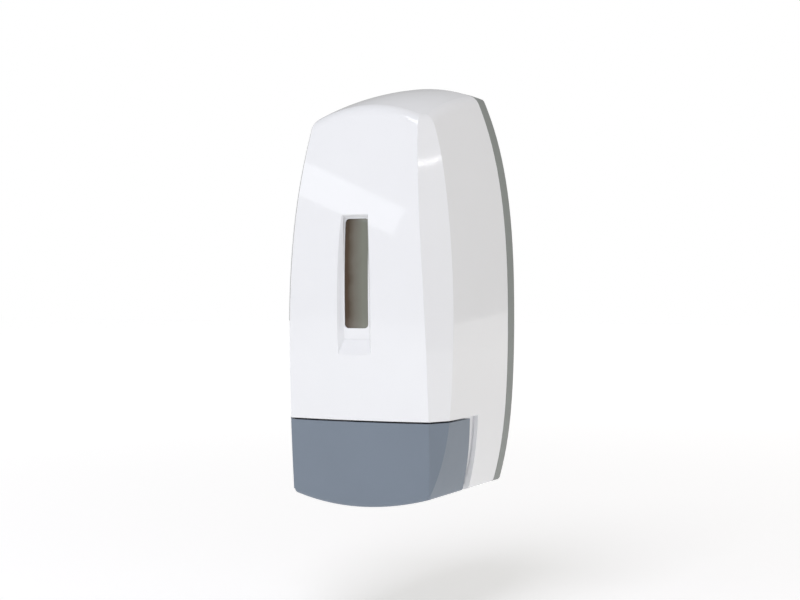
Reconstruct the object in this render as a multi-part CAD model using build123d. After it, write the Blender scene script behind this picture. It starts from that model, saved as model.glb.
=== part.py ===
"""Wall mounted soap dispenser: a grey back plate carries a tank and a push pump,
a white cover hinges down from its bottom edge, and a grey push bar slides in the cover.

Frame: +Z up, +X to the right as a person faces the dispenser, the wall at +Y.
The origin is on the wall plane, at the centre of the four wall screw holes.
"""
from build123d import *
import os
from math import cos, sin, radians, sqrt

# ---- driving dimensions, mm ----
rim_depth = 7.0            # visible depth of the grey back plate
plate_floor = 2.5          # thickness of the plate against the wall
wall = 2.2                 # moulded wall of the cover
lever_wall = 1.8           # moulded wall of the push bar
parting_gap = 0.3          # gap between cover and back plate
side_depth = 90.0          # length of the drafted side surfaces, past the front
front_radius = 295.0       # plan radius of the crowned front
facet_angle = 57.5         # the facets' normal, from straight ahead
top_round = 8.0            # rounding of the top's edges, at the front, the facets and the sides
bottom_round = 2.0         # rounding of the bottom's outer edges
top_peak = 102.7           # highest point of the outside shape, at the wall
plate_drop = 1.0           # how far the back plate's top edge lies below the cover's
top_radius = 82.0          # crown across the top
bottom_low = -102.9        # lowest point of the arched bottom
# half width at each height, against the wall and at the full depth of the sides
rear_side = [(37.9, -97.4), (41.9, -82), (46.6, -41), (47.5, -8),
             (45.5, 41), (37, 82), (31, 97.4), (24, 112)]
front_side = [(36.4, -98), (40.6, -82), (44.2, -41), (44.4, -8),
              (40.2, 41), (31.3, 82), (25.6, 97.4), (18.6, 112)]
# depth of the front face and distance of the slanted facets from the origin, at each height
front_spine = [(-80.2, -115), (-80.7, -61.5), (-81.7, 0), (-78.8, 41), (-75.0, 61.5), (-69.3, 82), (-56, 114)]
facet_line = [(72.2, -115), (72.8, -98), (73.7, -61.5), (73.2, 0),
              (69.3, 41), (65.6, 61.5), (60.6, 82), (51, 112)]

lever_top = -62.0          # top edge of the push bar
lever_gap = 0.8            # slot between push bar and cover
cheek_inset = 2.8          # step down to the cheeks that the push bar slides over
cheek_wall = 1.8
lever_travel = 6.5         # press stroke
shoulder_top_y = -38.1     # front edge of the full cover behind the push bar
shoulder_bottom_y = -35.1
wing_top_y = -46.8         # rear edge of the push bar's side wings
wing_bottom_y = -42.1

hinge_y = -13.0            # axis of the cover hinge
hinge_z = -95.0
hinge_pin_radius = 1.5
fit_gap = 0.05             # radial clearance of a running fit

shelf_round = 9.1          # the plate's bottom shelf is round about the hinge, so the cover clears it
ear_x = 24.4               # inner face of the cover's hinge ears

window_half = 6.4
window_low = -17.3
window_high = 35.0
window_corner = 2.0
recess_half = 8.8          # outer edge of the recess round the window; its walls slope in to the window
recess_low = -30.8
recess_floor_low = -22.5
recess_high = 37.4
recess_depth = 2.75
lens_seat = 5.0            # depth of the face that the lens's flange sits against
lens_thick = 1.5
lens_gap = 0.12            # gap round the lens's block in the window
lens_below_floor = 0.25    # how far the block's face lies below the recess floor

tank_bottom = -46.0
tank_top = 74.0
tank_front = -64.0
tank_back = -14.0
tank_half = 38.0           # half the tank's width, below its narrowing shoulders
tank_wall = 1.8
neck_radius = 12.0         # the tank's neck, over the pump
neck_bore = 9.8
neck_low = -60.0
neck_y = -30.0
filler_radius = 17.0       # the filling mouth in the tank's top
filler_bore = 14.5
filler_y = -38.0
lid_top = 80.8

shelf_thick = 3.0          # the bracket's shelf under the tank
bracket_half = 32.0
bracket_screw_x = 24.0
bracket_screw_z = -38.0

pump_z = -76.0             # axis of the horizontal pump barrel
barrel_radius = 11.0
barrel_bore = 8.0
barrel_back = -17.0
gland_front = -53.0        # the end cap's front face, where the return spring stands
rod_radius = 5.0           # plunger rod
disc_back = -66.5          # rear face of the plunger's disc, at the spring's free end
spring_wire = 0.6
spring_radius = 7.0
spring_turns = 4.5
pad_back = -68.8           # rear face of the press pad, just in front of the disc
nozzle_y = -25.5

guide_y = -52.0            # guide pins that the push bar slides on
guide_rows = [(-70.0, 37.5), (-85.0, 33.7)]   # height, and inner face of the cheek there
guide_radius = 2.0
ear_plate = 2.4            # thickness of the push bar's slotted ears

lock_y = -3.8              # axis of the quarter-turn lock, in the plate's top rim
lock_radius = 2.4

screw_x = 26.0             # wall screw holes, from the centre
screw_z = 60.0
screw_hole = 2.6


# ---- helpers ----
def box(x0, x1, y0, y1, z0, z1):
    """A box from its limits."""
    centre = Pos((x0 + x1) / 2, (y0 + y1) / 2, (z0 + z1) / 2)
    return centre * Box(x1 - x0, y1 - y0, z1 - z0)


def rod_x(radius, x0, x1, y, z):
    return Pos((x0 + x1) / 2, y, z) * Rot(0, 90, 0) * Cylinder(radius, x1 - x0)


def rod_y(radius, y0, y1, x, z):
    return Pos(x, (y0 + y1) / 2, z) * Rot(90, 0, 0) * Cylinder(radius, y1 - y0)


def rod_z(radius, z0, z1, x, y):
    return Pos(x, y, (z0 + z1) / 2) * Cylinder(radius, z1 - z0)


def both_sides(shape):
    return [shape, mirror(shape, about=Plane.YZ)]


def side_profile(points):
    """Extrude a closed outline of (y, z) points across the whole width."""
    face = make_face(Plane.YZ * Polyline(*points, close=True))
    return extrude(face, amount=60, both=True)


# ---- the body shape that cover, push bar and plate are cut from ----
def outline(y, side, bottom_low, inset):
    """A closed outline at depth y: a smooth curve up each side, over an arc along the bottom."""
    right = [(x - inset, y, z) for x, z in side]
    right[0] = (right[0][0], y, side[0][1] + inset)
    left = [(-x, y, z) for x, y, z in right]
    bottom = ThreePointArc(left[0], (0, y, bottom_low + inset), right[0])
    top = Line(right[-1], left[-1])
    return Wire([bottom, Spline(*right), top, Spline(*left[::-1])])


def drafted_sides(inset):
    rear = outline(0, rear_side, bottom_low, inset)
    front = outline(-side_depth, front_side, bottom_low, inset)
    return Solid.make_loft([rear, front], ruled=True)


def front_wedge(inset):
    """Everything behind the crowned front face, which leans back towards the top."""
    axis_y = front_radius - 82.0
    points = [(0, y + inset, z) for y, z in front_spine]
    curve = Spline(*points)
    back = Polyline(points[-1], (0, 60, 114), (0, 60, -115), points[0])
    face = make_face([curve, *back.edges()])
    swing = Axis((0, axis_y, 0), (0, 0, 1))
    return revolve(face.rotate(swing, -14), axis=swing, revolution_arc=28)


def top_dome(inset):
    """Everything under the top, which falls towards the front and is crowned across."""
    axis_z = top_peak - top_radius
    rise = ThreePointArc((0, 5, top_peak + 0.4 - inset), (0, -33, 97.9 - inset), (0, -92, 79.9 - inset))
    base = Polyline((0, -92, 79.9 - inset), (0, -92, axis_z), (0, 5, axis_z), (0, 5, top_peak + 0.4 - inset))
    face = make_face([rise, *base.edges()])
    swing = Axis((0, 0, axis_z), (0, 1, 0))
    dome = revolve(face.rotate(swing, -90), axis=swing, revolution_arc=180)
    return dome + box(-60, 60, -92, 5, -120, axis_z + 5)


def facet_block(inset):
    """Everything inside the two slanted facets that join the front to the sides."""
    nx = sin(radians(facet_angle))
    ny = -cos(radians(facet_angle))
    points = [(d - inset, z) for d, z in facet_line]
    plane = Plane(origin=(0, 0, 0), x_dir=(nx, ny, 0), z_dir=(ny, -nx, 0))
    edge = Spline(*points)
    back = Polyline(points[-1], (-160, 112), (-160, -115), points[0])
    right = extrude(plane * make_face([edge, *back.edges()]), amount=220, both=True)
    return right & mirror(right, about=Plane.YZ)


def near(edges, x, y, z, reach):
    """The edges whose middle is within reach of a point, on either side."""
    def distance(edge):
        middle = edge.position_at(0.5)
        return sqrt((abs(middle.X) - x) ** 2 + (middle.Y - y) ** 2 + (middle.Z - z) ** 2)
    return [edge for edge in edges if distance(edge) < reach]


def body(inset):
    """The whole outside shape, moved inwards by inset."""
    shape = drafted_sides(inset) & front_wedge(inset) & facet_block(inset) & top_dome(inset)
    front_edge = near(shape.edges(), 0, -66.8, 89.1, 9)
    corner_edges = near(shape.edges(), 30.7, -64.2, 82.8, 5)
    side_edges = near(shape.edges(), 31.5, -30.8, 91.6, 9)
    return fillet(front_edge + corner_edges + side_edges, max(top_round - inset, 1.0))


def outside_shape():
    """The whole body with its bottom edges rounded."""
    shape = body(0)
    middles = [(edge, edge.position_at(0.5)) for edge in shape.edges()]
    low_edges = [edge for edge, middle in middles if middle.Z < -90 and middle.Y < -5]
    return fillet(low_edges, bottom_round)


# ---- cover ----
def bar_zone():
    """The space in front of and below the push bar's edges."""
    slope = (wing_bottom_y - wing_top_y) / 35
    low_y = wing_bottom_y + slope * 15
    return side_profile([(-110, lever_top), (wing_top_y, lever_top), (low_y, -113), (-110, -113)])


def shoulder_zone():
    """The space cut from the full cover below the push bar's top edge."""
    top = lever_top + lever_gap
    low_y = shoulder_bottom_y + 1.0
    return side_profile([(-110, top), (shoulder_top_y, top), (low_y, -113), (-110, -113)])


def window_block(gap, front):
    """A block the shape of the window opening, smaller by gap all round."""
    block = box(-window_half + gap, window_half - gap, front, -65, window_low + gap, window_high - gap)
    return fillet(block.edges().filter_by(Axis.Y), window_corner - gap)


def window_cutters():
    # the recess narrows from its outer edge to the window's own edge at its floor
    floor_y = -78.6
    lip_y = -81.4
    half_floor = window_half + 0.3
    half_lip = recess_half
    slope = (half_lip - half_floor) / (floor_y - lip_y)
    outer_y = -90
    half_outer = half_lip + slope * (lip_y - outer_y)
    plan = [(half_floor, floor_y + 4), (half_floor, floor_y), (half_outer, outer_y)]
    outline_points = plan + [(-x, y) for x, y in plan[::-1]]
    tall = extrude(make_face(Polyline(*outline_points, close=True)), amount=120, both=True)
    top_slope = [(-95, recess_high + 6.6), (lip_y + 1.4, recess_high), (floor_y + 1.0, recess_high - 1.6)]
    chin_slope = [(floor_y - 0.2, recess_floor_low), (-81.9, recess_low), (-95, recess_low - 35)]
    profile = top_slope + [(-70, recess_high - 1.6), (-70, recess_floor_low)] + chin_slope
    side_face = make_face(Plane.YZ * Polyline(*profile, close=True))
    recess = (tall & extrude(side_face, amount=30, both=True)) - body_recess
    chin_points = [(-95, recess_low), (-81.9, recess_low), (-78.8, recess_floor_low), (-95, recess_floor_low)]
    chin_face = make_face(Plane.YZ * Polyline(*chin_points, close=True))
    chin = extrude(chin_face, amount=30, both=True) & tall
    return [recess, chin, window_block(0, -95)]


def make_front_cover():
    shell = (body_outer - body_inner) & box(-60, 60, -95, -rim_depth - parting_gap, -110, 110)
    upper = shell - shoulder_zone()
    # the side cheeks run forward behind the push bar's wings
    cheek_skin = body_cheek - body_cheek_inner
    cheek_zone = side_profile([(-57, -57), (-34, -57), (-32, -95), (-57, -95)])
    beside = box(20, 60, -60, -30, -95, -57) + box(-60, -20, -60, -30, -95, -57)
    cheeks = cheek_skin & cheek_zone & beside
    step_skin = body_inner_skin - body_cheek_inner
    step_up = step_skin & side_profile([(-57, -61.2), (-34, -61.2), (-34, -59), (-57, -59)])
    step_back = step_skin & side_profile([(-38.1, -59), (-35.9, -59), (-32.6, -95), (-35.1, -95)])
    steps = (step_up + step_back) & beside
    # a thick pad behind the window carries the recess and the lens
    pad = (body_ear - body_seat) & box(-12.5, 12.5, -90, -60, -34, 41)
    cover = upper + cheeks + steps + pad
    for cutter in window_cutters():
        cover = cover - cutter
    # the bottom rear is open for the plate's shelf, and rounded about the hinge
    cover = cover - box(-34, 34, hinge_y, 0, -110, -93) - rod_x(shelf_round + 0.4, -34, 34, hinge_y, hinge_z)
    corner = box(-60, 60, hinge_y, 0, -115, hinge_z) - rod_x(5.7, -60, 60, hinge_y, hinge_z)
    cover = cover - corner
    # opening for the nozzle, then the two hinge ears
    cover = cover - box(-14, 14, -40, 0, -110, -90)
    arm = box(ear_x, ear_x + 4, -31, hinge_y, -101, hinge_z + 3) & body_ear
    under = rod_x(shelf_round + 0.4, 20, 34, hinge_y, hinge_z) & box(20, 34, -30, 0, -110, hinge_z - 3)
    ear = (arm - under) + rod_x(3, ear_x, ear_x + 4, hinge_y, hinge_z)
    ear = ear - rod_x(hinge_pin_radius + fit_gap, 24, 29, hinge_y, hinge_z)
    for piece in both_sides(ear):
        cover = cover + piece
    # bosses for the push bar's guide pins
    for z, inner in guide_rows:
        boss = rod_x(4, inner, inner + 6, guide_y, z) & body_cheek
        for piece in both_sides(boss):
            cover = cover + piece
        for piece in both_sides(rod_x(1.4, inner - 1, inner + 2.3, guide_y, z)):
            cover = cover - piece
    # catch that the lock's cam holds
    catch = box(-3.5, 3.5, -12.5, -11, 89.6, 101) & body_ear
    return cover + catch


def make_window_lens():
    skin = body_seat - body_lens_back
    flange = skin & box(-10.5, 10.5, -90, -60, -22, 39)
    block = (body_lens_face - body_lens_back) & window_block(lens_gap, -95)
    return flange + block


# ---- push bar ----
def make_push_bar():
    bar = (body_outer - body_lever) & bar_zone()
    # the underside is open inside a narrow turned-in lip, and fully open between the wings
    mouth = body_mouth & box(-60, 60, -95, 0, -115, -90)
    underside = mouth + box(-60, 60, -58, 0, -115, -96.2) & body_lever
    bar = bar - mouth - underside
    # slotted ears slide on the guide pins
    for z, inner in guide_rows:
        outer = inner - 0.3
        plate = box(outer - ear_plate, outer, -80, guide_y + 4.5, z - 4.2, z + 4.2) & body_half_wall
        slot_radius = guide_radius + fit_gap
        slot = box(outer - 4, outer + 1, guide_y - lever_travel, guide_y, z - slot_radius, z + slot_radius)
        slot = slot + rod_x(slot_radius, outer - 4, outer + 1, guide_y, z)
        slot = slot + rod_x(slot_radius, outer - 4, outer + 1, guide_y - lever_travel, z)
        for piece in both_sides(plate - slot):
            bar = bar + piece
    # boss for the press pad, with four ribs
    boss = rod_y(5, -82, -71, 0, pump_z)
    ribs = box(-1, 1, -82, -74, pump_z - 12, pump_z + 12) + box(-16, 16, -82, -74, pump_z - 1, pump_z + 1)
    return bar + ((boss + ribs) & body_half_wall)


# ---- back plate ----
def make_back_plate():
    plate = body_outer & top_dome(plate_drop) & box(-60, 60, -rim_depth, 0, -110, 110)
    plate = plate - (body_rim & box(-60, 60, -20, -plate_floor, -110, 110))
    lip = (body_lip - body_rim) & box(-60, 60, -12, -plate_floor, -78, 110)
    plate = plate + (lip - box(-5, 5, -20, -rim_depth, 90, 110))
    # bottom shelf, round about the hinge, with notches for the cover's ears
    shelf = (body_outer - body_inner) & box(-33.2, 33.2, -25, -plate_floor, -110, -93)
    shelf = shelf & (box(-40, 40, hinge_y, 0, -115, -90) + rod_x(shelf_round, -40, 40, hinge_y, hinge_z))
    plate = plate + shelf
    knuckle = box(ear_x - 6.4, ear_x - 0.4, hinge_y, -plate_floor, -101, hinge_z + 3) & body_ear
    knuckle = knuckle + rod_x(3, ear_x - 6.4, ear_x - 0.4, hinge_y, hinge_z)
    knuckle = knuckle - rod_x(hinge_pin_radius, ear_x - 8, ear_x, hinge_y, hinge_z)
    for piece in both_sides(knuckle):
        plate = plate + piece
    for piece in both_sides(box(ear_x - 0.4, ear_x + 4.5, -25, -9.5, -110, -92)):
        plate = plate - piece
    # pads round the wall screw holes, and posts for the bracket
    for z in (-screw_z, screw_z):
        for piece in both_sides(rod_y(6.5, -4.5, -1, screw_x, z)):
            plate = plate + piece
        for piece in both_sides(rod_y(screw_hole, -6, 1, screw_x, z)):
            plate = plate - piece
    for piece in both_sides(rod_y(4.2, -6, -1, bracket_screw_x, bracket_screw_z)):
        plate = plate + piece
    for piece in both_sides(rod_y(1.6, -7, -1.5, bracket_screw_x, bracket_screw_z)):
        plate = plate - piece
    # bearing block for the lock in the top rim, with room behind it for the cam
    plate = plate + box(-5, 5, -rim_depth, -1, 89, 99)
    plate = plate - box(-4.6, 13.5, -rim_depth - 1, 1, 84.5, 88.9)
    plate = plate - box(5.2, 13.5, -rim_depth - 1, 1, 84.5, 92.5)
    return plate - rod_z(lock_radius + fit_gap, 80, 105, 0, lock_y)


# ---- lock ----
def make_lock_barrel():
    barrel = rod_z(lock_radius, 86.5, 100.8, 0, lock_y)
    slot = box(-0.5, 0.5, lock_y - 1.7, lock_y + 1.7, 99.2, 102)
    return barrel - slot - rod_z(1, 85, 92, 0, lock_y)


def make_lock_cam():
    hub = rod_z(3.2, 86.9, 88.6, 0, lock_y)
    arm = box(0, 12, lock_y - 2, lock_y + 2, 86.9, 88.6)
    post = box(10, 12, lock_y - 2, lock_y + 2, 88.6, 91.4)
    return (hub + arm + post) - rod_z(lock_radius, 86, 90, 0, lock_y)


def make_cam_screw():
    head = rod_z(2.8, 85.2, 86.5, 0, lock_y) - box(-3, 3, lock_y - 0.4, lock_y + 0.4, 84, 85.7)
    return head + rod_z(1, 86.4, 91.5, 0, lock_y)


# ---- tank and its bracket ----
def tank_block(inset):
    """The tank's rounded block, narrower towards the top."""
    half = tank_half - inset
    low = tank_bottom + inset
    high = tank_top - inset
    neck = tank_half - 11 - inset
    base = Polyline((-half, 25), (-half, low), (half, low), (half, 25))
    right = ThreePointArc((half, 25), (half - 2.6, 50), (neck, high))
    left = ThreePointArc((-half, 25), (2.6 - half, 50), (-neck, high))
    lid = Line((neck, high), (-neck, high))
    face = make_face([*base.edges(), right, left, lid])
    plane = Plane(origin=(0, tank_back - inset, 0), x_dir=(1, 0, 0), z_dir=(0, -1, 0))
    block = extrude(plane * face, amount=tank_back - tank_front - 2 * inset)
    corners = block.edges().filter_by(Axis.Y)
    block = fillet(corners, 8 - inset)
    rims = block.faces().filter_by(Axis.Y).edges()
    return fillet(rims, 5 - inset)


def make_reservoir():
    block = tank_block(0)
    block = block + rod_z(neck_radius, neck_low, tank_bottom + 1, 0, neck_y)
    block = block + rod_z(filler_radius, tank_top - 1, tank_top + 4, 0, filler_y)
    block = block - tank_block(tank_wall)
    block = block - rod_z(neck_bore, neck_low - 1, tank_bottom + 3, 0, neck_y)
    return block - rod_z(filler_bore, tank_top - 3, tank_top + 5, 0, filler_y)


def make_lid_gasket():
    return rod_z(filler_radius, 78, 79, 0, filler_y) - rod_z(filler_bore, 77, 80, 0, filler_y)


def make_filler_lid():
    cap = rod_z(filler_radius + 2, tank_top + 0.3, lid_top, 0, filler_y)
    cap = fillet(cap.faces().sort_by(Axis.Z)[-1].edges(), 1.2)
    cap = cap - rod_z(filler_radius + 0.2, tank_top, 79, 0, filler_y)
    plug = rod_z(filler_bore - 0.2, 73, 79.2, 0, filler_y) - rod_z(filler_bore - 1.7, 72, 79, 0, filler_y)
    tab = box(-5, 5, filler_y - filler_radius - 5, filler_y - filler_radius - 1, 77.5, 79.5)
    tab = tab - rod_z(filler_radius + 0.2, 70, 79, 0, filler_y)
    return cap + plug + tab


def make_tank_bracket():
    shelf = box(-bracket_half, bracket_half, -56, -6, tank_bottom - shelf_thick, tank_bottom)
    shelf = shelf - rod_z(neck_radius + 0.2, -60, -40, 0, neck_y)
    slot = neck_radius + 0.2
    shelf = shelf - box(-slot, slot, -60, neck_y, -60, -40)
    flange = box(-bracket_half, bracket_half, -9, -6, tank_bottom - shelf_thick, -30)
    bracket = shelf + flange
    for x in (1 - bracket_half, bracket_half - 3):
        web = make_face(Plane.YZ * Polyline((-9, -48), (-45, -48), (-9, -62), close=True))
        bracket = bracket + Pos(x, 0, 0) * extrude(web, amount=2, dir=(1, 0, 0))
        bracket = bracket + box(x, x + 2, -9, -6, -62, -48)
    for piece in both_sides(rod_y(1.7, -10, -5, bracket_screw_x, bracket_screw_z)):
        bracket = bracket - piece
    return bracket


def make_bracket_screws():
    screws = []
    for x in (-bracket_screw_x, bracket_screw_x):
        head = rod_y(3.2, -11, -9, x, bracket_screw_z)
        head = head - box(x - 2, x + 2, -12, -10, bracket_screw_z - 0.4, bracket_screw_z + 0.4)
        head = head - box(x - 0.4, x + 0.4, -12, -10, bracket_screw_z - 2, bracket_screw_z + 2)
        screws.append(head + rod_y(1.6, -9.5, -2, x, bracket_screw_z))
    return Compound(screws)


# ---- pump ----
def make_neck_gasket():
    return rod_z(neck_radius, neck_low - 1, neck_low, 0, neck_y) - rod_z(neck_bore, -62, -59, 0, neck_y)


def make_collar_nut():
    nut = rod_z(neck_radius + 3.5, -64.8, -49.3, 0, neck_y)
    nut = nut - rod_z(neck_radius, -63.5, -49, 0, neck_y) - rod_z(8.8, -67, -60, 0, neck_y)
    for angle in range(0, 360, 20):
        x = (neck_radius + 3.9) * cos(radians(angle))
        y = neck_y + (neck_radius + 3.9) * sin(radians(angle))
        nut = nut - rod_z(1.0, -65, -48, x, y)
    return nut


def make_pump_body():
    barrel = rod_y(barrel_radius, -50, barrel_back, 0, pump_z)
    flange = rod_z(neck_radius, -63.5, -61, 0, neck_y)
    stem = rod_z(8.5, -72, -62, 0, neck_y)
    spout = rod_z(4.5, -92, -82, 0, nozzle_y)
    solid = barrel + flange + stem + spout
    solid = solid - rod_y(barrel_bore, -51, -20, 0, pump_z)
    solid = solid - rod_z(5.5, -64, -60, 0, neck_y) - rod_z(5.5, -72, -65.2, 0, neck_y)
    solid = solid - rod_z(1.2, -66, -63, 0, neck_y)
    for x, y in ((3.3, 0), (-3.3, 0), (0, 3.3), (0, -3.3)):
        solid = solid - rod_z(1.1, -66, -63, x, neck_y + y)
    return solid - rod_z(2.5, -93, -80, 0, nozzle_y)


def make_inlet_valve():
    disc = rod_z(4.9, -66, -65.2, 0, neck_y)
    return disc + rod_z(1.2, -65.3, -63.9, 0, neck_y) + rod_z(1.8, -64, -62.8, 0, neck_y)


def make_gland_cap():
    cap = rod_y(barrel_radius + 2, gland_front, -46, 0, pump_z)
    cap = cap - rod_y(barrel_radius, -50, -45, 0, pump_z) - rod_y(rod_radius + fit_gap, -54, -49, 0, pump_z)
    for angle in range(0, 360, 30):
        x = 13.4 * cos(radians(angle))
        z = pump_z + 13.4 * sin(radians(angle))
        cap = cap - rod_y(1.0, -54, -45, x, z)
    return cap


def make_nozzle_tip():
    tip = rod_z(6.2, -93, -87.5, 0, nozzle_y)
    taper = Pos(0, nozzle_y, -95.5) * Cone(4.8, 6.2, 5)
    return tip + taper - rod_z(4.5, -92, -87, 0, nozzle_y) - rod_z(3.4, -99, -91, 0, nozzle_y)


def make_outlet_valve():
    collar = rod_z(3.4, -93.2, -92, 0, nozzle_y)
    bill = Pos(0, nozzle_y, -95) * Cone(1.2, 2.8, 4)
    slit = box(-0.15, 0.15, nozzle_y - 1, nozzle_y + 1, -98, -94.5)
    return collar + bill - slit - rod_z(1.6, -94.4, -91, 0, nozzle_y)


def make_plunger():
    rod = rod_y(rod_radius, -67, -42, 0, pump_z)
    disc = rod_y(9, disc_back - 2, disc_back, 0, pump_z)
    groove = rod_y(8, -45.5, -43.5, 0, pump_z) - rod_y(6, -46, -43, 0, pump_z)
    head = rod_y(7.6, -47, -42, 0, pump_z) - groove
    return rod + disc + head


def make_piston_seal():
    return rod_y(barrel_bore - fit_gap, -45.5, -43.5, 0, pump_z) - rod_y(6, -46, -43, 0, pump_z)


def make_return_spring():
    length = gland_front - disc_back - 2 * spring_wire
    path = Helix(pitch=length / spring_turns, height=length, radius=spring_radius)
    section = Plane(origin=path @ 0, z_dir=path % 0) * Circle(spring_wire)
    coil = sweep(section, path=path)
    return Pos(0, gland_front - spring_wire, pump_z) * Rot(90, 0, 0) * coil


def make_press_pad():
    pad = rod_y(7.5, -74, pad_back, 0, pump_z)
    pad = fillet(pad.faces().sort_by(Axis.Y)[-1].edges(), 1.2)
    return pad - rod_y(5, -75, -71, 0, pump_z) - box(-9, 9, -80, -73.9, -90, -60)


# ---- pins ----
def make_hinge_pins():
    return Compound(both_sides(rod_x(hinge_pin_radius, ear_x - 6, ear_x + 4, hinge_y, hinge_z)))


def make_guide_pins():
    pins = []
    for z, inner in guide_rows:
        ear_inner = inner - 0.3 - ear_plate
        pin = rod_x(guide_radius, ear_inner - 0.3, inner, guide_y, z)
        pin = pin + rod_x(1.4, inner - 0.1, inner + 2.3, guide_y, z)
        pin = pin + rod_x(3.4, ear_inner - 1.8, ear_inner - 0.3, guide_y, z)
        pins.extend(both_sides(pin))
    return Compound(pins)


# ---- build ----
body_outer = outside_shape()
body_half_wall = body(0.8)
body_ear = body(1.0)
body_lever = body(lever_wall)
body_inner = body(wall)
body_inner_skin = body(wall - 0.4)
body_lip = body(2.6)
body_recess = body(recess_depth)
body_cheek = body(cheek_inset)
body_rim = body(4.2)
body_cheek_inner = body(cheek_inset + cheek_wall)
body_seat = body(lens_seat)
body_lens_face = body(recess_depth + lens_below_floor)
body_lens_back = body(lens_seat + lens_thick)
body_mouth = body(7)

nodes = {
    "back_plate": make_back_plate,
    "tank_bracket": make_tank_bracket,
    "bracket_screws": make_bracket_screws,
    "reservoir": make_reservoir,
    "filler_lid": make_filler_lid,
    "lid_gasket": make_lid_gasket,
    "neck_gasket": make_neck_gasket,
    "collar_nut": make_collar_nut,
    "pump_body": make_pump_body,
    "inlet_valve": make_inlet_valve,
    "gland_cap": make_gland_cap,
    "nozzle_tip": make_nozzle_tip,
    "outlet_valve": make_outlet_valve,
    "hinge_pins": make_hinge_pins,
    "lock_barrel": make_lock_barrel,
    "lock_cam": make_lock_cam,
    "cam_screw": make_cam_screw,
    "front_cover": make_front_cover,
    "window_lens": make_window_lens,
    "guide_pins": make_guide_pins,
    "push_bar": make_push_bar,
    "press_pad": make_press_pad,
    "plunger": make_plunger,
    "piston_seal": make_piston_seal,
    "return_spring": make_return_spring,
}

os.makedirs("parts", exist_ok=True)
for name, make in nodes.items():
    shape = make()
    export_step(shape, f"parts/{name}.step")
    print(name, len(shape.solids()), "solid(s)", round(shape.volume / 1000, 2), "cm3")
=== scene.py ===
# %% [markdown]
# # A wall mounted soap dispenser, finished and lit
#
# The engineering model gives every part of the dispenser its true shape: a grey back plate on the wall, a
# white cover that hinges down, a push bar that slides in the cover, and a tank and pump behind them.
# This lesson loads those parts as a fixed frame and gives each one the finish of its real material.
# Only the return spring is built again, as a coil of its own; the real one shortens when the bar is pushed.
# Everything is in metres, with +Z up and the wall at +Y.

# %% Load the frame
import math

import bmesh
import bpy
from mathutils import Matrix, Vector


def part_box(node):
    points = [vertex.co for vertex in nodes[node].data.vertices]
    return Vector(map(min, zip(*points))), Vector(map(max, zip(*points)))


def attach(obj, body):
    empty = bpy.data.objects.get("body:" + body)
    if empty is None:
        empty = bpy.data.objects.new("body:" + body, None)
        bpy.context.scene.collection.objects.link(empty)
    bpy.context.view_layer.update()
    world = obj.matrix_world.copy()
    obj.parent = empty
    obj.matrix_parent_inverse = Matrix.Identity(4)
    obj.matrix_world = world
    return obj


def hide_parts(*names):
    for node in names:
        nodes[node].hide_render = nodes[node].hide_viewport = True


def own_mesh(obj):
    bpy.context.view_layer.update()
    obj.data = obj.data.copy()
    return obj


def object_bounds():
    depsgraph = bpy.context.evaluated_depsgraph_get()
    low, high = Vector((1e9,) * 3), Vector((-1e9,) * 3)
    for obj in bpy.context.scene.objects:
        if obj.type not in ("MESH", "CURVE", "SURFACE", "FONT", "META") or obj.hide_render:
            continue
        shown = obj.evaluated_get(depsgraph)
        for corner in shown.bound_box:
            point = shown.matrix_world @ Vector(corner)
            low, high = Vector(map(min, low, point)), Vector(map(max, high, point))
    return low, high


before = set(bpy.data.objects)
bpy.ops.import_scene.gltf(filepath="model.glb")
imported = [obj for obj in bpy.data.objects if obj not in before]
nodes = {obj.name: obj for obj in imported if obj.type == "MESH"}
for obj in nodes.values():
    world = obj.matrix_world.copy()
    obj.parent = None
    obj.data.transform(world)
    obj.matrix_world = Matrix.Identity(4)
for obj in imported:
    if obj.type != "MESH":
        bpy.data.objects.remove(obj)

MM = 0.001
bpy.context.view_layer.update()
cad_low, cad_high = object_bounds()
print("loaded", len(nodes), "parts, size in mm:", [round(side / MM, 1) for side in cad_high - cad_low])

# %% [markdown]
# ## The camera
#
# A product picture of a tall, narrow object is taken from a little to one side, at about its own height, so
# that the front and one side both show and the upright edges stay upright. A long lens, about twice
# as long as the sensor is wide, keeps those edges nearly parallel. The camera is turned by a
# matrix made of its own three axes, which leaves no doubt about what is up, and it leans by less
# than a degree, as a hand-set camera does.

# %% Place the camera
view_azimuth = math.radians(27.65)   # to the right of straight ahead
view_height = math.radians(1.375)    # above the horizon
view_roll = math.radians(-0.82)
view_distance = 0.854
aim = Vector((0, -0.0359, 0))        # on the middle plane, between wall and front

toward_camera = Vector((
    math.sin(view_azimuth) * math.cos(view_height),
    -math.cos(view_azimuth) * math.cos(view_height),
    math.sin(view_height),
))
level_right = Vector((math.cos(view_azimuth), math.sin(view_azimuth), 0))
level_up = toward_camera.cross(level_right)
camera_right = level_right * math.cos(view_roll) + level_up * math.sin(view_roll)
camera_up = level_up * math.cos(view_roll) - level_right * math.sin(view_roll)

camera_data = bpy.data.cameras.new("camera")
camera_data.lens = 76.95
camera_data.sensor_width = 36
camera_data.shift_x = 0.00275
camera_data.shift_y = -0.0131
camera = bpy.data.objects.new("camera", camera_data)
turn = Matrix((camera_right, camera_up, toward_camera)).transposed()
camera.matrix_world = Matrix.Translation(aim + toward_camera * view_distance) @ turn.to_4x4()
bpy.context.scene.collection.objects.link(camera)
bpy.context.scene.camera = camera
print("camera at", [round(value, 3) for value in camera.location])
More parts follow.
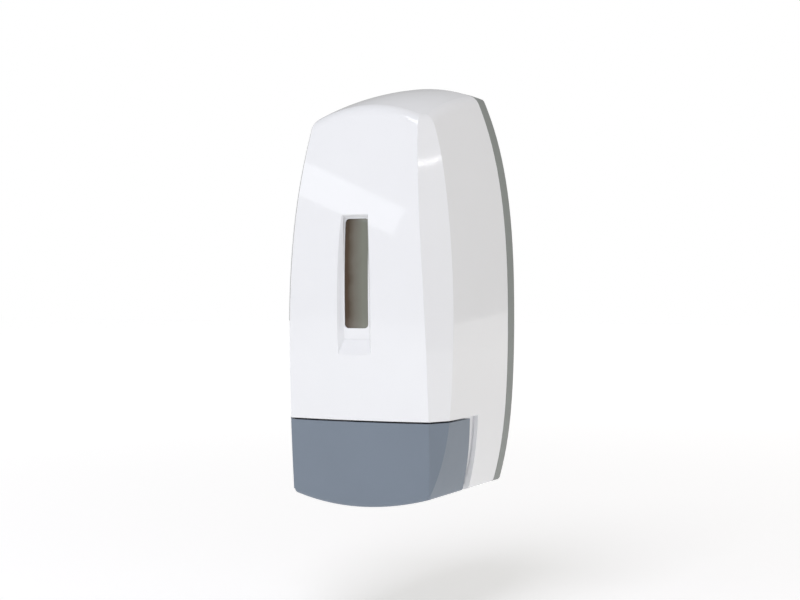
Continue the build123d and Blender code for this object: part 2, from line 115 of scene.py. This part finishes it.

# %% [markdown]
# ## Two helpers for materials
#
# A colour is given as an sRGB hex value, but light adds up in linear values, so one function turns
# one into the other. Every material is a small tree of nodes, and one more function adds a node, sets its
# own properties and fills its sockets, either with a value or with another node's output.

# %% Colour and node helpers
def linear(hex_colour):
    """An sRGB hex value such as "F0F0F0" as linear red, green, blue and alpha."""
    channels = [int(hex_colour[i:i + 2], 16) / 255 for i in (0, 2, 4)]
    light = [c / 12.92 if c <= 0.04045 else ((c + 0.055) / 1.055) ** 2.4 for c in channels]
    return (*light, 1)


def add(tree, kind, sockets=None, **settings):
    """Adds a node. Settings are its own properties; sockets are values or outputs of other nodes."""
    node = tree.nodes.new(kind)
    for name, value in settings.items():
        setattr(node, name, value)
    for name, value in (sockets or {}).items():
        if isinstance(value, bpy.types.NodeSocket):
            tree.links.new(value, node.inputs[name])
        else:
            node.inputs[name].default_value = value
    return node


def start_material(name):
    """A new material with its tree, its shader and the object's own coordinates in metres."""
    material = bpy.data.materials.new(name)
    material.use_nodes = True
    tree = material.node_tree
    tree.nodes.clear()
    shader = add(tree, "ShaderNodeBsdfPrincipled")
    add(tree, "ShaderNodeOutputMaterial", {"Surface": shader.outputs["BSDF"]})
    place = add(tree, "ShaderNodeTexCoord").outputs["Object"]
    return material, tree, shader, place


print("white is", [round(value, 3) for value in linear("F2F3F5")[:3]])

# %% [markdown]
# ## Moulded plastic
#
# Nearly every part is injection moulded: molten plastic fills a steel mould and copies its surface. What the
# eye gets from that is the mould's own texture, polished or finely spark-eroded, over very slight waves
# where the wall shrank unevenly as it cooled, and a tone that drifts a little because the colour was never
# mixed perfectly. Those three go into one recipe: a broad noise for the tone, a broad and a fine noise for
# the bump, and a middle one that rubs the gloss up and down as handling does.
#
# Plastics differ in a few numbers only, so they share a function. The scale of each noise is one over a real
# size. An eroded texture of 0.05 to 0.1 mm is too fine to show here, so it is drawn at about 0.4 mm.
# A shader bevel of a third of a millimetre lets the edges catch light, as a moulded edge is never
# perfectly sharp.

# %% The recipe for moulded plastic
tone_patch = 30 * MM      # size of the patches where the colour drifts
rubbed_patch = 9 * MM     # size of the patches that handling has made duller or glossier
wave_length = 14 * MM     # from one shallow wave of the wall to the next
edge_round = 0.35 * MM    # how far an edge looks rounded to the light
mix_colours = (6, 7)      # the two colour inputs of the mix node, and its colour output
mix_result = 2
noise_low, noise_high = 0.3, 0.7    # a noise keeps nearly all its values between these


def moulded_plastic(name, tone, drift, ior, gloss, grain_mm, grain_height_mm, wave_height_mm=0.006):
    """tone and drift are two near colours; gloss is the lowest and highest roughness."""
    material, tree, shader, place = start_material(name)
    broad = add(tree, "ShaderNodeTexNoise", {"Vector": place, "Scale": 1 / tone_patch, "Detail": 3.0})
    colours = add(tree, "ShaderNodeMix", {"Factor": broad.outputs["Fac"]}, data_type="RGBA")
    for socket, colour in zip(mix_colours, (tone, drift)):
        colours.inputs[socket].default_value = linear(colour)
    tree.links.new(colours.outputs[mix_result], shader.inputs["Base Color"])

    rubbed = add(tree, "ShaderNodeTexNoise", {
        "Vector": place, "Scale": 1 / rubbed_patch, "Detail": 6.0, "Roughness": 0.65})
    roughness = add(tree, "ShaderNodeMapRange", {
        "Value": rubbed.outputs["Fac"], "From Min": noise_low, "From Max": noise_high,
        "To Min": gloss[0], "To Max": gloss[1]})
    tree.links.new(roughness.outputs["Result"], shader.inputs["Roughness"])

    edge = add(tree, "ShaderNodeBevel", {"Radius": edge_round}, samples=6)
    waves = add(tree, "ShaderNodeTexNoise", {"Vector": place, "Scale": 1 / wave_length, "Detail": 1.0})
    wavy = add(tree, "ShaderNodeBump", {
        "Height": waves.outputs["Fac"], "Distance": wave_height_mm * MM, "Strength": 1.0,
        "Normal": edge.outputs["Normal"]})
    grain = add(tree, "ShaderNodeTexNoise", {"Vector": place, "Scale": 1 / (grain_mm * MM), "Detail": 2.0})
    grainy = add(tree, "ShaderNodeBump", {
        "Height": grain.outputs["Fac"], "Distance": grain_height_mm * MM, "Strength": 1.0,
        "Normal": wavy.outputs["Normal"]})
    tree.links.new(grainy.outputs["Normal"], shader.inputs["Normal"])
    shader.inputs["IOR"].default_value = ior
    return material, tree, shader, place


def dress(material, *names):
    """Gives a material to the slots of these parts."""
    for name in names:
        for material_slot in nodes[name].material_slots:
            material_slot.material = material
    print(material.name, "on", ", ".join(names))


# %% [markdown]
# ## The cover: white ABS from a polished mould
#
# ABS is the usual plastic of bathroom cases: tough, opaque and able to take a mirror polish from the mould.
# The eye gets a bright, slightly cool white and a clear, soft-edged reflection of the lamps. Its refractive
# index is 1.54. The gloss stays high, and the waves are shallow: they only bend the edges of a reflection.

# %% Gloss white ABS
gloss_white_abs, *_ = moulded_plastic(
    "gloss_white_abs", "F1F2F4", "EEEFF1", ior=1.54, gloss=(0.04, 0.08), grain_mm=1.2, grain_height_mm=0.0006)
dress(gloss_white_abs, "front_cover")

# %% [markdown]
# ## The push bar and the back plate: grey ABS from a textured mould
#
# The bar takes every push of a wet hand, so its mould is finely eroded and the plastic comes out satin, which
# hides finger marks. It is a blue grey, and the mottling of the texture shows as soft patches. The back plate
# is the same plastic in a more neutral grey and duller, as only its edge is meant to be seen.

# %% Satin blue grey and matt grey ABS
satin_grey_abs, *_ = moulded_plastic(
    "satin_blue_grey_abs", "788492", "727D8A", ior=1.54, gloss=(0.28, 0.38), grain_mm=0.4,
    grain_height_mm=0.004)
dress(satin_grey_abs, "push_bar")
matt_grey_abs, *_ = moulded_plastic(
    "matt_grey_abs", "8F9491", "858A87", ior=1.54, gloss=(0.40, 0.52), grain_mm=0.45,
    grain_height_mm=0.006)
dress(matt_grey_abs, "back_plate")

# %% [markdown]
# ## The window: smoked polystyrene
#
# The level window is a clear plastic tinted with a brown smoke, polished on both faces. It lets some light
# through, and part of the shader is transmission, so the tank really is seen through it. On top of that, a
# ramp across the window's width paints its colour: painted shade in brown on the outer side, and a painted
# grey haze on the inner side, where the pale tank shows behind it.

# %% Smoked polystyrene, with painted shade
smoked_lens, lens_tree, lens_shader, lens_place = start_material("smoked_polystyrene_painted_shade")
window_half = 6.4 * MM       # half the width of the window, across which the tint changes
shade_edge_wander = 2.2 * MM       # how far the change of tint strays from a straight line
stray_patch = 7 * MM
# painted shade: brown at the outer side, fading to a painted grey of the tank behind at the inner side
painted_shade_ramp = [(0.22, "52402E"), (0.50, "7C776C"), (0.85, "8C8E82")]   # from the outer side to the inner
across = add(lens_tree, "ShaderNodeSeparateXYZ", {"Vector": lens_place})
uneven = add(lens_tree, "ShaderNodeTexNoise", {"Vector": lens_place, "Scale": 1 / stray_patch, "Detail": 4.0})
wander = add(lens_tree, "ShaderNodeMath", {
    0: uneven.outputs["Fac"], 1: shade_edge_wander, 2: across.outputs["X"]}, operation="MULTIPLY_ADD")
share = add(lens_tree, "ShaderNodeMapRange", {
    "Value": wander.outputs["Value"], "From Min": -window_half, "From Max": window_half,
    "To Min": 0.0, "To Max": 1.0})
painted_shade_colour = add(lens_tree, "ShaderNodeValToRGB", {"Fac": share.outputs["Result"]})
painted_shade_colour.color_ramp.elements.new(0.5)
for stop, (position, colour) in zip(painted_shade_colour.color_ramp.elements, painted_shade_ramp):
    stop.position = position
    stop.color = linear(colour)
lens_tree.links.new(painted_shade_colour.outputs["Color"], lens_shader.inputs["Base Color"])
lens_shader.inputs["IOR"].default_value = 1.59
lens_shader.inputs["Roughness"].default_value = 0.06
lens_shader.inputs["Transmission Weight"].default_value = 0.25
dress(smoked_lens, "window_lens")

# %% [markdown]
# ## The tank: blow moulded polypropylene
#
# The tank is blown like a bottle, so its wall is thin, milky and a little wavy, and light soaks into it
# before it comes back. Scattering under the surface gives that glow, and a faint rib runs round the middle,
# where the two halves of the mould met.

# %% Milky polypropylene
milky_tank, tank_tree, tank_shader, tank_place = moulded_plastic(
    "milky_blown_polypropylene", "E4E8E6", "D6DCDA", ior=1.49, gloss=(0.30, 0.42), grain_mm=2.5,
    grain_height_mm=0.03, wave_height_mm=0.06)
tank_shader.inputs["Subsurface Weight"].default_value = 0.35
tank_shader.inputs["Subsurface Radius"].default_value = (1.0, 1.0, 1.0)
tank_shader.inputs["Subsurface Scale"].default_value = 1.5 * MM
tank_low, tank_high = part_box("reservoir")
seam_depth = (tank_low.y + tank_high.y) / 2
print("the tank's mould seam is at", round(seam_depth / MM, 1), "mm from the wall")
where = add(tank_tree, "ShaderNodeSeparateXYZ", {"Vector": tank_place})
from_seam = add(tank_tree, "ShaderNodeMath", {0: where.outputs["Y"], 1: seam_depth}, operation="SUBTRACT")
beside_seam = add(tank_tree, "ShaderNodeMath", {0: from_seam.outputs["Value"]}, operation="ABSOLUTE")
rib_top, rib_foot, rib_height = 0.3 * MM, 0.7 * MM, 0.25 * MM   # half widths at its top and foot
rib = add(tank_tree, "ShaderNodeMapRange", {
    "Value": beside_seam.outputs["Value"], "From Min": rib_top, "From Max": rib_foot,
    "To Min": 1.0, "To Max": 0.0})
surface_normal = tank_shader.inputs["Normal"].links[0].from_socket
seam = add(tank_tree, "ShaderNodeBump", {
    "Height": rib.outputs["Result"], "Distance": rib_height, "Strength": 1.0, "Normal": surface_normal})
tank_tree.links.new(seam.outputs["Normal"], tank_shader.inputs["Normal"])
dress(milky_tank, "reservoir")

# %% [markdown]
# ## The smaller mouldings
#
# Behind the cover nothing is polished: lids, nuts, valves and brackets come straight from the mould with a
# plain satin surface. Polyethylene and polypropylene (index 1.51 and 1.49) look a little waxy, acetal (1.48)
# is harder and slicker, and the bracket is ABS again. Rubber (1.52) is nearly matt, with a dusty look from
# the talc that keeps it from sticking. One row of the table is one material: its name, two near colours,
# index, lowest and highest roughness, grain in mm, height of the grain in mm, and the parts made of it.

# %% Small mouldings and rubber
small_mouldings = [
    ("grey_polyethylene", "59636D", "525C66", 1.51, (0.38, 0.50), 0.5, 0.006, ["filler_lid"]),
    ("white_bracket_abs", "DDDEDF", "D5D6D7", 1.54, (0.34, 0.46), 0.45, 0.006, ["tank_bracket"]),
    ("white_polypropylene", "E2E3E3", "D9DADA", 1.49, (0.30, 0.42), 0.6, 0.005,
     ["collar_nut", "pump_body", "gland_cap"]),
    ("slick_acetal", "E9EAEB", "E4E5E6", 1.48, (0.16, 0.24), 0.8, 0.002, ["plunger"]),
    ("dark_polypropylene", "4F5963", "48525B", 1.49, (0.32, 0.44), 0.5, 0.005, ["nozzle_tip"]),
    ("dark_acetal", "4A5055", "44494E", 1.48, (0.20, 0.30), 0.5, 0.003, ["lock_barrel"]),
    ("black_nitrile_rubber", "2A2A2A", "343433", 1.52, (0.62, 0.80), 0.35, 0.010,
     ["lid_gasket", "neck_gasket", "piston_seal", "inlet_valve", "outlet_valve"]),
    ("grey_rubber_pad", "303335", "3B3D3F", 1.52, (0.66, 0.82), 0.35, 0.012, ["press_pad"]),
]
for name, tone, drift, ior, gloss, grain_mm, grain_height_mm, parts in small_mouldings:
    plastic, *_ = moulded_plastic(name, tone, drift, ior, gloss, grain_mm, grain_height_mm)
    dress(plastic, *parts)

# %% [markdown]
# ## Metal: drawn stainless steel and zinc plated steel
#
# Pins and spring are drawn wire: pulled through a die, they keep fine scratches along their length and a
# bright surface. Screws are plated with zinc, which is duller and a little cloudy. Both are fully metallic
# and keep the default index, and the colour is all in the base colour. The draw lines are 0.05 mm apart in
# life and are drawn at 0.25 mm. The lock's cam is stamped from the same stainless steel.

# %% Steel and zinc
scratch_depth = 0.004 * MM
along_x = (0.06, 1, 1)    # draws the pattern out along X, as on a wire that lies that way
even = (1, 1, 1)


def plain_metal(name, bright, dull, gloss, patch, stretch):
    """patch is the size of the surface pattern in metres; stretch draws it out along X, Y and Z."""
    material, tree, shader, place = start_material(name)
    drawn = add(tree, "ShaderNodeMapping", {"Vector": place, "Scale": stretch})
    pattern = add(tree, "ShaderNodeTexNoise", {
        "Vector": drawn.outputs["Vector"], "Scale": 1 / patch, "Detail": 5.0, "Roughness": 0.6})
    colours = add(tree, "ShaderNodeValToRGB", {"Fac": pattern.outputs["Fac"]})
    for stop, position, colour in zip(colours.color_ramp.elements, (noise_low, noise_high), (dull, bright)):
        stop.position = position
        stop.color = linear(colour)
    roughness = add(tree, "ShaderNodeMapRange", {
        "Value": pattern.outputs["Fac"], "From Min": noise_low, "From Max": noise_high,
        "To Min": gloss[1], "To Max": gloss[0]})
    lines = add(tree, "ShaderNodeBump", {
        "Height": pattern.outputs["Fac"], "Distance": scratch_depth, "Strength": 1.0})
    tree.links.new(colours.outputs["Color"], shader.inputs["Base Color"])
    tree.links.new(roughness.outputs["Result"], shader.inputs["Roughness"])
    tree.links.new(lines.outputs["Normal"], shader.inputs["Normal"])
    shader.inputs["Metallic"].default_value = 1.0
    return material


drawn_stainless = plain_metal("drawn_stainless_steel", "C9C9C6", "B1B1AE", (0.20, 0.32), 0.25 * MM, along_x)
zinc_plate = plain_metal("zinc_plated_steel", "C4C8CB", "A6AAAE", (0.30, 0.46), 0.8 * MM, even)
dress(drawn_stainless, "hinge_pins", "guide_pins", "lock_cam")
dress(zinc_plate, "bracket_screws", "cam_screw")

# %% [markdown]
# ## The return spring
#
# The spring sits between the pump's end cap and the plunger's disc and pushes the bar back out. A real
# one is wound from hard wire with its last turns closed, so that it stands square. The spring is its own
# mesh: rings of points set along a helix whose pitch opens in the middle and closes at the ends. It is fixed
# at the cap; the plunger comes in by 6.5 mm on a push.

# %% Wind the spring
spring_low, spring_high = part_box("return_spring")
wire = 0.6 * MM              # radius of the wire
fixed_end = spring_high.y
free_end = spring_low.y
coil_centre = (spring_low + spring_high) / 2
coil_radius = (spring_high.x - spring_low.x) / 2 - wire
closed_turns = 0.75
open_turns = 3.5
closed_pitch = 2 * wire + 0.05 * MM
open_length = (fixed_end - free_end) - 2 * wire - 2 * closed_turns * closed_pitch
points_per_turn = 40
points_round_wire = 12


def along_coil(turn):
    """How far a point of the wire is from the start of the coil, after so many turns."""
    first = min(turn, closed_turns) * closed_pitch
    middle = min(max(turn - closed_turns, 0), open_turns) / open_turns * open_length
    last = max(turn - closed_turns - open_turns, 0) * closed_pitch
    return first + middle + last


total_turns = 2 * closed_turns + open_turns
steps = round(total_turns * points_per_turn)
coil = bmesh.new()
rings = []
for step in range(steps + 1):
    turn = total_turns * step / steps
    angle = 2 * math.pi * turn
    outward = Vector((math.cos(angle), 0, math.sin(angle)))
    on_axis = Vector((coil_centre.x, fixed_end - wire - along_coil(turn), coil_centre.z))
    centre = on_axis + outward * coil_radius
    ring = []
    for k in range(points_round_wire):
        round_wire = 2 * math.pi * k / points_round_wire
        ring.append(coil.verts.new(
            centre + outward * wire * math.cos(round_wire) + Vector((0, 1, 0)) * wire * math.sin(round_wire)))
    rings.append(ring)
for ring, following in zip(rings, rings[1:]):
    for k in range(points_round_wire):
        after = (k + 1) % points_round_wire
        coil.faces.new((ring[k], ring[after], following[after], following[k]))
coil.faces.new(rings[0][::-1])
coil.faces.new(rings[-1])
bmesh.ops.recalc_face_normals(coil, faces=coil.faces)
spring_mesh = bpy.data.meshes.new("spring_coil")
coil.to_mesh(spring_mesh)
coil.free()
spring_mesh.shade_smooth()
spring_mesh.materials.append(drawn_stainless)
spring = bpy.data.objects.new("spring_coil", spring_mesh)
bpy.context.scene.collection.objects.link(spring)
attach(spring, "wall_unit")
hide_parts("return_spring")
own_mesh(spring)

# %% [markdown]
# ## Floor, surroundings and lamps
#
# The dispenser is shown by itself over a pale board in a white studio, as a catalogue would. The board is a
# satin painted panel with a faint drift of tone. It is lit from within a little, and more so away from the
# object, so that it fades into the surroundings without a line. The surroundings are white where they are
# looked at, but give off less light than that, so that a white object still stands out from them.
#
# The largest lamp hangs high in front and makes the front the brightest face. A narrow one with a diffuser
# stands to the left, and its reflection lies as a slanted band across the upper front. A warm one behind to
# the right takes the chill off the side, which stays the darker face. A very thin one on the right draws a
# short glint on the slanted facet.

# %% The floor
floor_drop = 60 * MM
floor_size = 6.0
floor_mesh = bpy.data.meshes.new("floor")
half_floor = floor_size / 2
floor_level = cad_low.z - floor_drop
corners = [(x * half_floor, y * half_floor, floor_level) for x, y in ((-1, -1), (1, -1), (1, 1), (-1, 1))]
floor_mesh.from_pydata(corners, [], [(0, 1, 2, 3)])
floor = bpy.data.objects.new("floor", floor_mesh)
bpy.context.scene.collection.objects.link(floor)
painted_board, board_tree, board_shader, board_place = start_material("satin_painted_board")
drift_patch = 0.4
board_drift = add(board_tree, "ShaderNodeTexNoise", {
    "Vector": board_place, "Scale": 1 / drift_patch, "Detail": 2.0})
board_tone = add(board_tree, "ShaderNodeValToRGB", {"Fac": board_drift.outputs["Fac"]})
board_tone.color_ramp.elements[0].color = linear("F8F8F8")
board_tone.color_ramp.elements[1].color = linear("FBFBFB")
board_tree.links.new(board_tone.outputs["Color"], board_shader.inputs["Base Color"])
board_shader.inputs["Roughness"].default_value = 0.6
board_shader.inputs["Emission Color"].default_value = linear("FFFFFF")
from_middle = add(board_tree, "ShaderNodeVectorMath", {0: board_place}, operation="LENGTH")
glow_starts, glow_full = 0.2, 1.3    # distances from the middle, in metres
least_glow, most_glow = 0.31, 0.57
glow = add(board_tree, "ShaderNodeMapRange", {
    "Value": from_middle.outputs["Value"], "From Min": glow_starts, "From Max": glow_full,
    "To Min": least_glow, "To Max": most_glow})
board_tree.links.new(glow.outputs["Result"], board_shader.inputs["Emission Strength"])
floor_mesh.materials.append(painted_board)
print("the board lies", round(floor_drop / MM), "mm below the object")

# %% Surroundings
world = bpy.data.worlds.new("white_studio")
world.use_nodes = True
world.node_tree.nodes.clear()
seen_white = 1.0
given_light = 0.44
who_looks = add(world.node_tree, "ShaderNodeLightPath")
level = add(world.node_tree, "ShaderNodeMapRange", {
    "Value": who_looks.outputs["Is Camera Ray"], "To Min": given_light, "To Max": seen_white})
sky = add(world.node_tree, "ShaderNodeBackground", {
    "Color": linear("FFFFFF"), "Strength": level.outputs["Result"]})
add(world.node_tree, "ShaderNodeOutputWorld", {"Surface": sky.outputs["Background"]})
bpy.context.scene.world = world
bpy.context.scene.view_settings.view_transform = "Standard"
print("the surroundings look", seen_white, "and give", given_light)


# %% Lamps
def soft_lamp(name, azimuth, height, distance, size, watts, colour, twist=0.0):
    """A flat lamp aimed at the middle of the object; azimuth 0 is straight in front of it."""
    lamp = bpy.data.lights.new(name, "AREA")
    lamp.shape = "RECTANGLE"
    lamp.size, lamp.size_y = size
    lamp.energy = watts
    lamp.color = linear(colour)[:3]
    holder = bpy.data.objects.new(name, lamp)
    a, e = math.radians(azimuth), math.radians(height)
    out = Vector((math.sin(a) * math.cos(e), -math.cos(a) * math.cos(e), math.sin(e)))
    centre = (cad_low + cad_high) / 2
    facing = out.to_track_quat("Z", "Y").to_matrix() @ Matrix.Rotation(math.radians(twist), 3, "Z")
    holder.matrix_world = Matrix.Translation(centre + out * distance) @ facing.to_4x4()
    holder.visible_camera = False
    bpy.context.scene.collection.objects.link(holder)
    print(name, "at", [round(value, 2) for value in holder.matrix_world.translation])


soft_lamp(
    "key_softbox", azimuth=-36, height=19.5, distance=1.4, size=(0.95, 0.18), watts=0.85, colour="F8FBFF",
    twist=-16)
soft_lamp(
    "front_fill", azimuth=6, height=54, distance=1.6, size=(0.8, 1.0), watts=11.0, colour="F7F7FF")
soft_lamp(
    "warm_side_fill", azimuth=122, height=30, distance=1.8, size=(0.7, 1.0), watts=1.7, colour="FFDB90")
soft_lamp(
    "facet_strip", azimuth=90.3, height=25.4, distance=1.2, size=(0.2, 0.003), watts=0.045, colour="FFFFFF",
    twist=46)

# %% Finish
bpy.context.view_layer.update()
